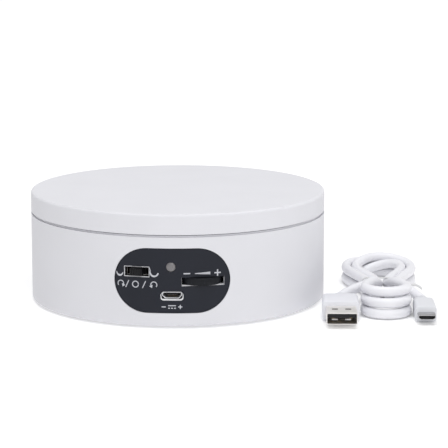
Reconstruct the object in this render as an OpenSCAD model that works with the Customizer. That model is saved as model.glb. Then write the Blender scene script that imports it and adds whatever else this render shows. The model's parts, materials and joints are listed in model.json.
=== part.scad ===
// Motorised display turntable: a round platter on a ball bearing, turned by a geared
// motor under the deck, with a control panel let into the front of the base.
// Origin: centre of the ground plane under the feet. +Z is up, -Y is the control side.

/* [Stand] */
// Diameter of the platter and of the base
stand_d = 120; // [118:1:128]
// Height of the base casing, without its feet
base_h = 35; // [35:1:40]
// Height of the platter from the bottom of its skirt to its top face
platter_h = 8; // [8:0.5:10]
// Gap between the base and the platter
seam = 1; // [0.8:0.1:1.5]
// Height of the feet below the casing
foot_h = 1; // [0.8:0.1:2]
// Wall thickness of the base casing
wall = 2.5; // [2:0.1:3]

/* [Control panel] */
// Width of the panel along the curved front
panel_w = 45.2; // [42:0.1:48]
// Height of the panel
panel_h = 25.4; // [22:0.1:27]
// Angle of the direction switch from the front, towards the left
switch_angle = 13.3; // [11:0.1:13.5]
// Angle of the speed dial from the front, towards the right
dial_angle = 11.7; // [11:0.1:13]
// Diameter of the speed dial
dial_d = 16; // [15:0.5:16]
// Thickness of the speed dial
dial_t = 2.8; // [2:0.1:2.8]

/* [Drive] */
// Teeth on the big gear under the platter
ring_teeth = 72; // [72:1:72]
// Teeth on the pinion that drives it
pinion_teeth = 12; // [12:1:12]
// Tooth module of that pair
ring_module = 1; // [1:1:1]
// Diameter of the motor can
motor_d = 24.4; // [20:0.1:24.4]

/* [Cable] */
// Outside diameter of the cable
cable_d = 4; // [3.5:0.1:4]
// Distance of the folded cable from the stand's centre
cable_x = 84; // [84:1:90]

/* [Hidden] */
$fn = 96;

// Heights of the casing and the platter
stand_r = stand_d / 2;
base_z = foot_h;
rim_z = base_z + base_h;
skirt_z = rim_z + seam;
top_z = skirt_z + platter_h;
inner_r = stand_r - wall;
deck_top = rim_z - 1;
deck_t = 2.5;
deck_z = deck_top - deck_t;
plate_t = 3;
plate_z = top_z - plate_t;
cover_t = 2.5;
rib_h = 0.5;
skirt_t = 1.9;
lip_gap = 0.6;
lip_r = stand_r - skirt_t - lip_gap;
lip_t = 1.8;
lip_top = skirt_z + 2;
step_r = stand_r - 0.8;
step_top = skirt_z - 0.4;
edge_r = 1;
foot_edge_r = 1;

// Control panel. Its openings show a rim of the white casing round the switch and the dial
panel_z = base_z + 18;
panel_end_r = panel_h / 2;
panel_face_r = stand_r - 0.3;
panel_back_r = stand_r - 0.65;
switch_z = base_z + 21.3;
window_w = 9.6;
window_h = 3.6;
window_rim = 0.35;
knob_w = 4.8;
knob_h = 2.8;
knob_out = 1.8;
led_x = -0.4;
led_z = base_z + 23.4;
led_r = 1.8;
led_pitch = 1.27;
dial_z = base_z + 17.75;
dial_axis_r = stand_r - 5.8;
dial_slot_w = 16.6;
dial_slot_h = 3.1;
dial_rim_side = 0.12;
dial_rim_bottom = 0.38;
usb_z = base_z + 12.2;
mouth_z = usb_z - 0.25;
mouth_bend = 1.3;

// Boards
board_t = 1.6;
board_z = base_z + 13.5;
board_top = board_z + board_t;
board_posts = [[-18.5, -33], [18.5, -33]];

// Bearing and spindle
bearing_od = 22;
bearing_bore = 8;
bearing_t = 7;
bearing_z = deck_top - 0.5 - bearing_t;
bearing_mid = bearing_z + bearing_t / 2;
ball_circle_r = 7.5;
ball_r = 1.95;
ball_count = 7;
groove_r = 2.05;
boss_r = 14;
boss_z = bearing_z - 2.5;
flange_r = 12;
flange_z = bearing_z + bearing_t + 2;
flange_t = 2.5;
hub_r = 14;
flange_screw_r = 9;
washer_t = 0.8;
clip_t = 0.8;
clip_z = bearing_z - washer_t - clip_t - 0.05;

// Gear train, from the platter down to the motor
small_module = 0.6;
fine_module = 0.5;
output_teeth = 36;
wheel_teeth = 40;
motor_teeth = 10;
ring_gap = (ring_teeth + pinion_teeth) * ring_module / 2;
output_gap = (output_teeth + pinion_teeth) * small_module / 2;
wheel_gap = (wheel_teeth + pinion_teeth) * fine_module / 2;
motor_gap = (wheel_teeth + motor_teeth) * fine_module / 2;
output_dir = 90;
second_dir = 200;
first_dir = 225;
motor_dir = 250;
output_pos = polar(ring_gap, output_dir);
second_pos = output_pos + polar(output_gap, second_dir);
first_pos = second_pos + polar(wheel_gap, first_dir);
motor_pos = first_pos + polar(motor_gap, motor_dir);
ring_z = plate_z - 4;
ring_bore_r = 28;
gear_screw_r = 22;
pin_r = 0.75;
gear_plate_z = deck_z - 14.5;
gear_plate_t = 1.5;
first_z = deck_z - 12.5;
first_pinion_z = deck_z - 10;
second_z = deck_z - 8.5;
second_pinion_z = deck_z - 6;
output_z = deck_z - 4.5;
gear_top = deck_z - 1.5;
output_shaft_r = 2.5;
shaft_clear = 0.05;
gear_posts = [[15.5, 44], [-18, 50], [-36, 30], [2, 24]];
gear_post_r = 2.5;

// Motor
motor_top = gear_plate_z - 0.5;
motor_can_h = 10.5;
motor_z = motor_top - motor_can_h;
motor_cap_t = 1.5;
rotor_r = 7;
wire_r = 0.55;

// Screws
cover_boss_r = 3.5;
cover_boss_at = 51;
cover_boss_dirs = [30, 150, 210, 330];
foot_dirs = [45, 135, 225, 315];
foot_at = 44;
foot_r = 6;
screw_head_h = 1.1;

// Cable, folded into a hank that lies beside the stand
hank_top_v = 27.3;
hank_top_r = 15.7;
hank_bottom_v = -33.8;
hank_bottom_r = 10.3;
tie_v = -4;
tie_w = 3;
tie_t = 0.5;
waist_half = 8.4;
hank_h = 9;
plug_a_u = -18.3;
plug_b_u = 15;
plug_a_z = 4.1;
plug_b_z = 3.2;
plug_top_v = -24;
lead_left = [[-7, -8, 6.4], [-9.4, -11, 6.4], [-12.3, -14.2, 5.9], [-15.2, -17, 5.2],
    [-17.4, -20.2, 4.5], [-18.2, -22.4, 4.2], [-18.3, -24, 4.1]];
lead_right = [[7, -8, 6.4], [8.8, -11, 6.3], [10.8, -14.2, 5.6], [12.9, -17.2, 4.6],
    [14.5, -20.2, 3.7], [15, -22.4, 3.3], [15, -24, 3.2]];

// ---- shapes used by more than one part ----

function polar(r, a) = [r * cos(a), r * sin(a)];
function involute(r, base_r) = let (a = acos(base_r / r)) tan(a) * 180 / PI - a;
function tooth_half(r, base_r, pitch_r, teeth, play) =
    90 / teeth - play / (2 * pitch_r) * 180 / PI + involute(pitch_r, base_r) - involute(r, base_r);

// Outline of a spur gear with involute flanks, one tooth centred on +X
function gear_outline(teeth, module_mm, tip, play) =
    let (
        pitch_r = teeth * module_mm / 2,
        base_r = pitch_r * cos(20),
        root_r = pitch_r - 1.25 * module_mm,
        tip_r = pitch_r + tip * module_mm,
        start_r = max(base_r, root_r) + 0.001,
        steps = 3,
        flank = [for (k = [0:steps]) start_r + (tip_r - start_r) * k / steps],
        foot_half = tooth_half(start_r, base_r, pitch_r, teeth, play)
    )
    [for (i = [0:teeth - 1])
        let (a = 360 / teeth * i)
        each concat(
            base_r > root_r ? [polar(root_r, a - foot_half)] : [],
            [for (k = [0:steps])
                polar(flank[k], a - tooth_half(flank[k], base_r, pitch_r, teeth, play))],
            [for (k = [steps:-1:0])
                polar(flank[k], a + tooth_half(flank[k], base_r, pitch_r, teeth, play))],
            base_r > root_r ? [polar(root_r, a + foot_half)] : []
        )];

module gear(teeth, module_mm, tip, play, height, turn) {
    rotate([0, 0, turn])
        linear_extrude(height) polygon(gear_outline(teeth, module_mm, tip, play));
}

module at(pos, z) {
    translate([pos[0], pos[1], z]) children();
}

module ring(outer_r, bore_r, height) {
    difference() {
        cylinder(r = outer_r, h = height);
        translate([0, 0, -1]) cylinder(r = bore_r, h = height + 2);
    }
}

// Pan-head screw pointing up, with a crossed recess in its head
module screw_up(head_r, head_h, shank_r, shank_l) {
    difference() {
        union() {
            cylinder(r = head_r, h = head_h);
            translate([0, 0, head_h]) cylinder(r = shank_r, h = shank_l);
        }
        for (a = [0, 90])
            rotate([0, 0, a]) translate([-head_r * 0.6, -head_r * 0.12, -1])
                cube([head_r * 1.2, head_r * 0.24, 1 + head_h * 0.5]);
    }
}

// Something on the front, turned to an angle from straight ahead
module facing(angle) {
    rotate([0, 0, angle]) children();
}

// Straight cut through the front wall
module front_cut(angle, width, height, z) {
    facing(angle) translate([-width / 2, -stand_r - 3, z - height / 2])
        cube([width, 3 + wall + 4, height]);
}

// Stadium outline of the panel, cut from a curved band between two radii
module panel_band(outer_r, back_r, grow) {
    straight = panel_w / 2 - panel_end_r;
    intersection() {
        rotate_extrude()
            translate([back_r, panel_z - panel_end_r - 1])
                square([outer_r - back_r, panel_h + 2]);
        rotate([90, 0, 0]) linear_extrude(stand_r + 5)
            union() {
                translate([-straight * 0.975, panel_z - panel_end_r - grow])
                    square([2 * straight * 0.975, panel_h + 2 * grow]);
                for (s = [-1, 1])
                    translate([s * straight * 0.975, panel_z]) circle(r = panel_end_r + grow);
            }
    }
}

// Section of the socket: flat top, chamfered lower corners
module socket_outline(grow) {
    half = 3.75 + grow;
    tall = 1.25 + grow;
    polygon([[-half, tall], [half, tall], [half, -tall * 0.1], [half - 1.2, -tall],
        [-half + 1.2, -tall], [-half, -tall * 0.1]]);
}

// Opening round the socket: rounded below, chamfered above
module mouth_outline(grow) {
    half = 4.45 + grow;
    tall = 1.75 + grow;
    shoulder = 0.65 + grow / 2;
    translate([-half + mouth_bend, -tall]) square([2 * (half - mouth_bend), mouth_bend]);
    for (s = [-1, 1]) translate([s * (half - mouth_bend), -tall + mouth_bend]) circle(r = mouth_bend);
    polygon([[-half, -tall + mouth_bend], [-half, shoulder], [-half + 0.95, tall],
        [half - 0.95, tall], [half, shoulder], [half, -tall + mouth_bend]]);
}

module socket_block(front_y, depth, grow) {
    translate([0, front_y, usb_z]) rotate([-90, 0, 0]) mirror([0, 1, 0])
        linear_extrude(depth) socket_outline(grow);
}

module mouth_block(front_y, depth, grow) {
    translate([0, front_y, mouth_z]) rotate([-90, 0, 0]) mirror([0, 1, 0])
        linear_extrude(depth) mouth_outline(grow);
}

// Round tube swept along points: rings of eight sides, each square to the path and not twisted
// against the one before it
function unit(v) = v / norm(v);
function ring_dir(path, i) =
    unit(path[min(i + 1, len(path) - 1)] - path[max(i - 1, 0)]);
function side_dirs(path, i, last) = i == len(path) ? [] :
    let (d = ring_dir(path, i), side = unit(last - (last * d) * d))
    concat([side], side_dirs(path, i + 1, side));
module tube(path, r) {
    sides = 8;
    n = len(path);
    side = side_dirs(path, 0, cross(ring_dir(path, 0), [0, 0, 1]));
    points = [for (i = [0:n - 1])
        let (across = side[i], up = cross(across, ring_dir(path, i)))
        for (k = [0:sides - 1])
            path[i] + r * (cos(360 / sides * k) * across + sin(360 / sides * k) * up)];
    walls = [for (i = [0:n - 2], k = [0:sides - 1])
        let (a = i * sides + k, b = i * sides + (k + 1) % sides)
        [a, b, b + sides, a + sides]];
    polyhedron(points, concat([[for (k = [sides - 1:-1:0]) k]], walls,
        [[for (k = [0:sides - 1]) (n - 1) * sides + k]]));
}

// Path with each inner corner cut off by a short arc's chord
function eased(path, cut) = concat([path[0]],
    [for (i = [1:len(path) - 2])
        let (a = unit(path[i - 1] - path[i]), b = unit(path[i + 1] - path[i]))
        each [path[i] + cut * a, path[i] + cut * 0.3 * (a + b), path[i] + cut * b]],
    [path[len(path) - 1]]);

// ---- casing ----

module casing_profile() {
    e = foot_edge_r;
    difference() {
        union() {
            translate([0, base_z + e]) square([stand_r, base_h - e]);
            translate([0, base_z]) square([stand_r - e, e]);
            translate([stand_r - e, base_z + e]) circle(r = e);
            translate([0, deck_z]) square([step_r, step_top - deck_z]);
            translate([0, deck_z]) square([lip_r, lip_top - deck_z]);
        }
        translate([-1, base_z - 1]) square([inner_r + 1, deck_z - base_z + 1]);
        translate([-1, deck_top]) square([lip_r - lip_t + 1, lip_top]);
    }
}

module base_shell() {
    color("white") difference() {
        union() {
            rotate_extrude() casing_profile();
            translate([0, 0, boss_z]) cylinder(r = boss_r, h = deck_z - boss_z + 0.5);
            for (a = cover_boss_dirs)
                at(polar(cover_boss_at, a), base_z + cover_t)
                    cylinder(r = cover_boss_r, h = deck_z + 0.5 - base_z - cover_t);
            for (p = gear_posts)
                at(p, gear_plate_z + gear_plate_t)
                    cylinder(r = gear_post_r, h = deck_z + 0.5 - gear_plate_z - gear_plate_t);
            for (p = board_posts)
                at(p, board_top) cylinder(r = 2.5, h = deck_z + 0.5 - board_top);
            for (p = [first_pos, second_pos])
                at(p, gear_top + 0.2) cylinder(r = 2, h = 1.5);
        }
        panel_band(stand_r + 1, panel_back_r, 0.1);
        translate([0, 0, bearing_z]) cylinder(r = bearing_od / 2, h = 20);
        translate([0, 0, boss_z - 1]) cylinder(r = 9.5, h = 20);
        at(output_pos, deck_z - 1) cylinder(r = 4, h = 5);
        for (p = [first_pos, second_pos])
            at(p, gear_top) cylinder(r = pin_r, h = 3);
        for (a = cover_boss_dirs)
            at(polar(cover_boss_at, a), base_z) cylinder(r = 1.25, h = 16);
        for (p = gear_posts)
            at(p, gear_plate_z) cylinder(r = 1, h = 9);
        for (p = board_posts)
            at(p, board_z) cylinder(r = 1, h = 9);
        front_cut(-switch_angle, window_w, window_h, switch_z);
        front_cut(dial_angle, dial_slot_w, dial_slot_h, dial_z);
        translate([led_x, -stand_r + 6, led_z]) rotate([90, 0, 0]) cylinder(r = led_r + 0.15, h = 10);
        mouth_block(-stand_r - 2, wall + 4, 0.2);
    }
}

module bottom_cover() {
    color("white") difference() {
        union() {
            translate([0, 0, base_z]) cylinder(r = inner_r - 0.2, h = cover_t);
            translate([0, 0, base_z + cover_t]) ring(21.6, 20, rib_h);
            for (a = [0:60:300])
                rotate([0, 0, a]) translate([21, -0.7, base_z + cover_t]) cube([27, 1.4, rib_h]);
        }
        for (a = cover_boss_dirs)
            at(polar(cover_boss_at, a), base_z - 1) {
                cylinder(r = 1.5, h = 10);
                cylinder(r = 2.9, h = 1 + 1.5);
            }
        for (a = foot_dirs)
            at(polar(foot_at, a), base_z - 1) cylinder(r = foot_r, h = 1.5);
    }
}

module rubber_feet() {
    color("dimgray") for (a = foot_dirs)
        at(polar(foot_at, a), 0) {
            cylinder(r1 = foot_r - 0.7, r2 = foot_r - 0.2, h = 0.5);
            translate([0, 0, 0.5]) cylinder(r = foot_r - 0.2, h = foot_h);
        }
}

module cover_screws() {
    color("silver") for (a = cover_boss_dirs)
        at(polar(cover_boss_at, a), base_z + 0.4) screw_up(2.6, screw_head_h, 1.2, 10);
}

// ---- control panel and what it carries ----

module control_panel() {
    color("darkslategray") difference() {
        panel_band(panel_face_r, panel_back_r, 0);
        front_cut(-switch_angle, window_w + 2 * window_rim, window_h + 2 * window_rim, switch_z);
        front_cut(dial_angle, dial_slot_w + 2 * dial_rim_side, dial_slot_h + dial_rim_bottom,
            dial_z - dial_rim_bottom / 2);
        translate([led_x, -stand_r + 6, led_z]) rotate([90, 0, 0]) cylinder(r = led_r + 0.1, h = 10);
        mouth_block(-stand_r - 2, wall + 4, 0.15);
    }
}

module indicator_led() {
    back = inner_r - 1.2;
    length = panel_face_r + 0.2 - back;
    dome_r = 4;
    color("gainsboro") rotate([90, 0, 0]) translate([led_x, led_z, back])
        rotate_extrude() {
            square([led_r + 0.35, 1]);
            intersection() {
                square([led_r, length]);
                translate([0, length - dome_r]) circle(r = dome_r);
            }
        }
}

module led_legs() {
    back = -(inner_r - 1.2);
    color("silver") for (s = [-1, 1])
        translate([led_x + s * led_pitch, 0, 0]) {
            translate([-0.25, back, led_z - 0.25]) cube([0.5, 4.6, 0.5]);
            translate([-0.25, back + 4.1, board_z - 0.8])
                cube([0.5, 0.5, led_z + 0.25 - board_z + 0.8]);
        }
}

module usb_socket_shell() {
    front = -stand_r + 0.7;
    color("silver") difference() {
        union() {
            socket_block(front, 5.6, 0);
            mouth_block(front, 0.35, 0);
        }
        socket_block(front - 1, 5.6, -0.3);
    }
}

module usb_socket_tongue() {
    front = -stand_r + 0.7;
    color("dimgray") {
        socket_block(front + 3.9, 0.7, -0.35);
        translate([-1.9, front + 0.9, usb_z - 0.1]) cube([3.8, 3.2, 0.7]);
    }
}

module main_board() {
    tab = 4.8;
    color("darkgreen") difference() {
        translate([0, 0, board_z]) linear_extrude(board_t)
            polygon([[-22, -29], [22, -29], [22, -52], [15, -54.4], [tab, -54.4], [tab, -56.4],
                [-tab, -56.4], [-tab, -54.4], [-15, -54.4], [-22, -52]]);
        for (p = board_posts) at(p, board_z - 1) cylinder(r = 1.2, h = 5);
        for (s = [-1, 1])
            translate([led_x + s * led_pitch - 0.35, -(inner_r - 1.2) + 4, board_z - 1])
                cube([0.7, 0.7, 5]);
    }
}

module board_screws() {
    color("silver") for (p = board_posts)
        at(p, board_z - screw_head_h) screw_up(2, screw_head_h, 0.95, 7);
}

module switch_board() {
    back = inner_r - 5.6;
    color("darkgreen") facing(-switch_angle)
        translate([-7.5, -back, board_top]) cube([15, 1.2, switch_z + 4.6 - board_top]);
}

module switch_frame() {
    front = -(inner_r - 0.8);
    color("silver") facing(-switch_angle) translate([0, front, switch_z]) difference() {
        translate([-6, 0, -2.8]) cube([12, 3.8, 5.6]);
        translate([-5.6, 0.4, -2.4]) cube([11.2, 4, 4.8]);
        translate([-4.6, -1, -1.5]) cube([9.2, 3, 3]);
    }
}

module switch_back() {
    front = -(inner_r - 0.8) + 3;
    color("saddlebrown") facing(-switch_angle) translate([0, front, switch_z]) {
        translate([-5.6, 0, -2.4]) cube([11.2, 0.8, 4.8]);
        for (x = [-4, 0, 4]) translate([x - 0.4, 0.8, -0.4]) cube([0.8, 1, 0.8]);
    }
}

module switch_slider() {
    front = -(inner_r - 0.8);
    color("black") facing(-switch_angle) translate([0, 0, switch_z]) {
        translate([-3, front + 0.6, -2.2]) cube([6, 2.2, 4.4]);
        translate([-1.4, front - 3, -1.2]) cube([2.8, 3.8, 2.4]);
        difference() {
            translate([-knob_w / 2, -panel_face_r - knob_out, -knob_h / 2])
                cube([knob_w, knob_out + 1.4, knob_h]);
            for (x = [-1.2, 0, 1.2])
                translate([x - 0.2, -panel_face_r - knob_out - 1, -knob_h])
                    cube([0.4, 1.3, 2 * knob_h]);
        }
    }
}

module potentiometer_case() {
    color("silver") facing(dial_angle) translate([0, -dial_axis_r, board_top]) difference() {
        union() {
            cylinder(r = 3.1, h = 1.1);
            translate([-3.1, 0, 0]) cube([6.2, 5.4, 1.1]);
        }
        translate([0, 0, 0.3]) cylinder(r = 1.5, h = 5);
    }
}

module speed_dial() {
    ribs = 40;
    r = dial_d / 2;
    color("black") facing(dial_angle) translate([0, -dial_axis_r, 0]) difference() {
        union() {
            translate([0, 0, dial_z - dial_t / 2]) linear_extrude(dial_t)
                polygon([for (i = [0:ribs - 1], k = [0:3])
                    polar(k == 1 || k == 2 ? r : r - 0.35, 360 / ribs * (i + k * 0.25))]);
            translate([0, 0, board_top + 0.4]) cylinder(r = 1.42, h = dial_z - board_top);
        }
        translate([0, 0, dial_z + dial_t / 2 - 0.6]) cylinder(r = 5, h = 5);
        translate([0, 0, dial_z - 1]) cylinder(r = 0.7, h = 5);
    }
}

module dial_screw() {
    color("silver") facing(dial_angle)
        translate([0, -dial_axis_r, dial_z + dial_t / 2 + 0.3]) mirror([0, 0, 1])
            screw_up(1.6, 0.9, 0.65, 1);
}

module driver_chip() {
    color("black") translate([-4, -42, board_top]) {
        translate([0, 0, 0.2]) cube([5, 4, 1.5]);
        for (i = [0:3], s = [0, 1])
            translate([0.4 + i * 1.27, -1 + s * 5, 0]) cube([0.4, 1, 0.4]);
        for (i = [0:3], s = [0, 1])
            translate([0.4 + i * 1.27, -0.2 + s * 4, 0]) cube([0.4, 0.4, 0.8]);
    }
}

module capacitor() {
    color("steelblue") translate([8, -38, board_top]) difference() {
        cylinder(r = 2.5, h = 8);
        translate([0, 0, 1.2]) rotate_extrude() translate([2.7, 0]) circle(r = 0.4, $fn = 24);
    }
}

module board_resistors() {
    color("black") for (p = [[-12, -36], [-12, -39], [-12, -42], [3, -35], [3, -46]])
        at(p, board_top) translate([-1, -0.6, 0]) cube([2, 1.2, 0.5]);
}

module wire_connector() {
    color("ivory") translate([-9, -33.5, board_top]) difference() {
        cube([6, 4, 5]);
        translate([0.6, 0.6, 1]) cube([4.8, 2.8, 5]);
    }
}

// ---- motor ----

module motor_can() {
    color("silver") at(motor_pos, 0) difference() {
        union() {
            translate([0, 0, motor_z]) cylinder(r = motor_d / 2, h = motor_can_h);
            translate([0, 0, motor_top]) cylinder(r = 3.5, h = gear_plate_z - motor_top + 0.8);
        }
        translate([0, 0, motor_z - 1]) cylinder(r = motor_d / 2 - 0.8, h = motor_can_h + 0.2);
        translate([0, 0, motor_z]) cylinder(r = 1.06, h = motor_can_h + 5);
        for (s = [-1, 1]) translate([s * 8.5, 0, motor_z]) cylinder(r = 0.9, h = motor_can_h + 5);
    }
}

module motor_end_cap() {
    color("ivory") at(motor_pos, motor_z - motor_cap_t) difference() {
        union() {
            cylinder(r = motor_d / 2, h = motor_cap_t);
            cylinder(r = motor_d / 2 - 0.85, h = motor_cap_t + 1);
        }
        translate([0, 0, 0.6]) cylinder(r = 1.06, h = 5);
        for (s = [-1, 1])
            translate([-0.6, s * 7 - 1.1, -1]) cube([1.2, 2.2, 5]);
    }
}

module motor_terminals() {
    color("goldenrod") at(motor_pos, motor_z - motor_cap_t)
        for (s = [-1, 1]) translate([-0.3, s * 7 - 0.9, -1.2]) cube([0.6, 1.8, 3.4]);
}

module motor_screws() {
    color("silver") for (s = [-1, 1])
        at([motor_pos[0] + s * 8.5, motor_pos[1]], gear_plate_z + gear_plate_t + screw_head_h - 0.4)
            mirror([0, 0, 1]) screw_up(1.7, screw_head_h - 0.4, 0.85, 3);
}

module motor_shaft() {
    color("silver") at(motor_pos, motor_z - 0.7)
        cylinder(r = 1, h = first_pinion_z + 0.2 - motor_z + 0.7);
}

module motor_rotor() {
    color("peru") at(motor_pos, motor_z + 2) difference() {
        cylinder(r = rotor_r, h = 7);
        translate([0, 0, -1]) cylinder(r = 1, h = 20);
        for (a = [0, 120, 240])
            rotate([0, 0, a]) translate([2.6, -1, -1]) cube([8, 2, 20]);
    }
}

module motor_pinion() {
    color("gold") difference() {
        at(motor_pos, first_z - 0.2)
            gear(motor_teeth, fine_module, 1, 0.08, first_pinion_z + 0.4 - first_z,
                motor_dir + 180 + 180 / motor_teeth);
        at(motor_pos, 0) cylinder(r = 1, h = 60);
    }
}

module motor_wire_red() {
    color("red") tube(eased([[motor_pos[0] + 0.9, motor_pos[1] + 7, motor_z - 2.1],
        [motor_pos[0] + 14, motor_pos[1] + 5, motor_z - 2.1], [-5, -8, 8], [-4, -25, 14],
        [-4.9, -27.5, 23], [-4.9, -31.5, 23], [-4.9, -31.5, 17.5]], 1.2), wire_r);
}

module motor_wire_black() {
    color("black") tube(eased([[motor_pos[0] + 0.9, motor_pos[1] - 7, motor_z - 2.1],
        [motor_pos[0] + 10, motor_pos[1] - 12, motor_z - 2.1], [-9, -12, 8], [-7.5, -25, 14],
        [-7.1, -27.5, 23], [-7.1, -31.5, 23], [-7.1, -31.5, 17.5]], 1.2), wire_r);
}

// ---- gear train ----

module gearbox_plate() {
    color("gray") difference() {
        translate([0, 0, gear_plate_z]) linear_extrude(gear_plate_t)
            polygon([[-39.5, 33.5], [-39.5, 11], [-33, 3.5], [-21, 3.5], [-14, 10], [-10, 19],
                [6, 19.5], [20, 39], [19, 48], [-14, 54], [-22, 53]]);
        at(motor_pos, gear_plate_z - 1) cylinder(r = 3.5, h = 5);
        for (s = [-1, 1])
            at([motor_pos[0] + s * 8.5, motor_pos[1]], gear_plate_z - 1) cylinder(r = 1, h = 5);
        for (p = [first_pos, second_pos])
            at(p, gear_plate_z - 1) cylinder(r = pin_r, h = 5);
        at(output_pos, gear_plate_z - 1) cylinder(r = output_shaft_r + shaft_clear, h = 5);
        for (p = gear_posts)
            at(p, gear_plate_z - 1) cylinder(r = 1.2, h = 5);
    }
}

module gearbox_screws() {
    color("silver") for (p = gear_posts)
        at(p, gear_plate_z - screw_head_h) screw_up(2, screw_head_h, 0.95, 7);
}

module gear_pins() {
    color("silver") for (p = [first_pos, second_pos])
        at(p, gear_plate_z) cylinder(r = pin_r, h = gear_top + 1.5 - gear_plate_z);
}

module first_gear() {
    color("white") difference() {
        union() {
            at(first_pos, first_z)
                gear(wheel_teeth, fine_module, 0.65, 0.08, first_pinion_z - first_z, motor_dir);
            at(first_pos, first_pinion_z)
                gear(pinion_teeth, fine_module, 1, 0.08, second_pinion_z + 0.5 - first_pinion_z,
                    first_dir + 180);
            at(first_pos, gear_plate_z + gear_plate_t + 0.1)
                cylinder(r = 1.6, h = gear_top - gear_plate_z - gear_plate_t);
        }
        at(first_pos, 0) cylinder(r = pin_r + shaft_clear, h = 60);
    }
}

module second_gear() {
    color("ivory") difference() {
        union() {
            at(second_pos, second_z)
                gear(wheel_teeth, fine_module, 0.75, 0.08, second_pinion_z - second_z,
                    first_dir + 180 / wheel_teeth);
            at(second_pos, second_pinion_z)
                gear(pinion_teeth, small_module, 1, 0.09, gear_top - second_pinion_z, second_dir + 180);
            at(second_pos, gear_plate_z + gear_plate_t + 0.1)
                cylinder(r = 1.8, h = gear_top - gear_plate_z - gear_plate_t);
        }
        at(second_pos, 0) cylinder(r = pin_r + shaft_clear, h = 60);
    }
}

module output_gear() {
    color("white") difference() {
        union() {
            at(output_pos, output_z)
                gear(output_teeth, small_module, 0.75, 0.09, gear_top - output_z,
                    second_dir + 180 / output_teeth);
            at(output_pos, gear_plate_z + gear_plate_t + 0.1)
                cylinder(r = 4, h = gear_top + 1 - gear_plate_z - gear_plate_t);
        }
        at(output_pos, 0) cylinder(r = output_shaft_r, h = 60);
        for (a = [0:60:300])
            at(output_pos + polar(6.6, a), output_z - 1) cylinder(r = 1.6, h = 10);
    }
}

module output_shaft() {
    color("silver") at(output_pos, gear_plate_z - 1)
        cylinder(r = output_shaft_r, h = ring_z + 3.5 - gear_plate_z + 1);
}

module output_bush() {
    color("darkgoldenrod") at(output_pos, deck_z) difference() {
        union() {
            cylinder(r = 4, h = deck_t);
            translate([0, 0, deck_t]) cylinder(r = 5.5, h = 1);
        }
        translate([0, 0, -1]) cylinder(r = output_shaft_r + shaft_clear, h = 10);
    }
}

module drive_pinion() {
    color("ivory") difference() {
        union() {
            at(output_pos, ring_z - 0.2)
                gear(pinion_teeth, ring_module, 1, 0.14, 3.7, output_dir + 180 + 180 / pinion_teeth);
            at(output_pos, deck_top + 1.2) cylinder(r = 4.2, h = ring_z - deck_top - 1);
        }
        at(output_pos, 0) cylinder(r = output_shaft_r, h = 60);
    }
}

// ---- platter and bearing ----

module platter_profile() {
    e = edge_r;
    difference() {
        union() {
            translate([0, skirt_z]) square([stand_r, platter_h - e]);
            translate([0, skirt_z]) square([stand_r - e, platter_h]);
            translate([stand_r - e, top_z - e]) circle(r = e);
        }
        translate([-1, skirt_z - 1]) square([stand_r - skirt_t + 1, plate_z - skirt_z + 1]);
    }
}

module platter() {
    color("white") difference() {
        union() {
            rotate_extrude() platter_profile();
            translate([0, 0, flange_z + flange_t])
                cylinder(r = hub_r, h = plate_z - flange_z - flange_t + 0.5);
            for (a = [30:60:330])
                rotate([0, 0, a]) translate([50, -0.8, plate_z - 1.5]) cube([8.6, 1.6, 2]);
        }
        for (a = [0:120:240]) {
            at(polar(flange_screw_r, a), flange_z) cylinder(r = 1.25, h = 7);
            at(polar(gear_screw_r, a + 60), flange_z) cylinder(r = 1.1, h = plate_z + 2 - flange_z);
        }
    }
}

module platter_gear() {
    color("ivory") difference() {
        translate([0, 0, ring_z]) gear(ring_teeth, ring_module, 0.75, 0.14, 4, output_dir);
        translate([0, 0, ring_z - 1]) cylinder(r = ring_bore_r, h = 3);
        translate([0, 0, ring_z - 1]) cylinder(r = hub_r + 0.1, h = 9);
        for (a = [60:120:300])
            at(polar(gear_screw_r, a), ring_z) cylinder(r = 1.2, h = 9);
        for (a = [0:120:240])
            at(polar(gear_screw_r - 0.5, a), ring_z) cylinder(r = 4, h = 9);
    }
}

module spindle() {
    groove_z = clip_z - 0.02;
    color("silver") difference() {
        union() {
            translate([0, 0, flange_z]) cylinder(r = flange_r, h = flange_t);
            translate([0, 0, bearing_z + bearing_t]) cylinder(r = 5.6, h = 3);
            translate([0, 0, clip_z - 1.2]) cylinder(r = bearing_bore / 2, h = flange_z - clip_z + 2);
        }
        translate([0, 0, groove_z]) ring(6, 3.2, clip_t + 0.04);
        for (a = [0:120:240])
            at(polar(flange_screw_r, a), flange_z - 1) cylinder(r = 1.4, h = 10);
    }
}

module spindle_screws() {
    color("dimgray") for (a = [0:120:240])
        at(polar(flange_screw_r, a), flange_z - 1) screw_up(2.2, 1, 1.2, 5);
}

module gear_screws() {
    color("dimgray") for (a = [60:120:300])
        at(polar(gear_screw_r, a), plate_z - 2 - screw_head_h) screw_up(2, screw_head_h, 1.05, 3.8);
}

module race(outer_r, bore_r) {
    translate([0, 0, bearing_z]) rotate_extrude() difference() {
        translate([bore_r, 0]) square([outer_r - bore_r, bearing_t]);
        translate([ball_circle_r, bearing_t / 2]) circle(r = groove_r);
    }
}

module bearing_outer_race() {
    color("silver") race(bearing_od / 2, 9);
}

module bearing_inner_race() {
    color("silver") race(6, bearing_bore / 2);
}

module bearing_balls() {
    color("silver") for (i = [0:ball_count - 1])
        at(polar(ball_circle_r, 360 / ball_count * i), bearing_mid) sphere(r = ball_r, $fn = 48);
}

module bearing_cage() {
    color("goldenrod") difference() {
        translate([0, 0, bearing_mid - 2.8]) ring(8.2, 6.8, 4);
        for (i = [0:ball_count - 1])
            at(polar(ball_circle_r, 360 / ball_count * i), bearing_mid)
                sphere(r = ball_r + 0.06, $fn = 48);
    }
}

module spindle_washer() {
    color("silver") translate([0, 0, bearing_z - washer_t])
        ring(6.2, bearing_bore / 2 + 0.05, washer_t);
}

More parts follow.
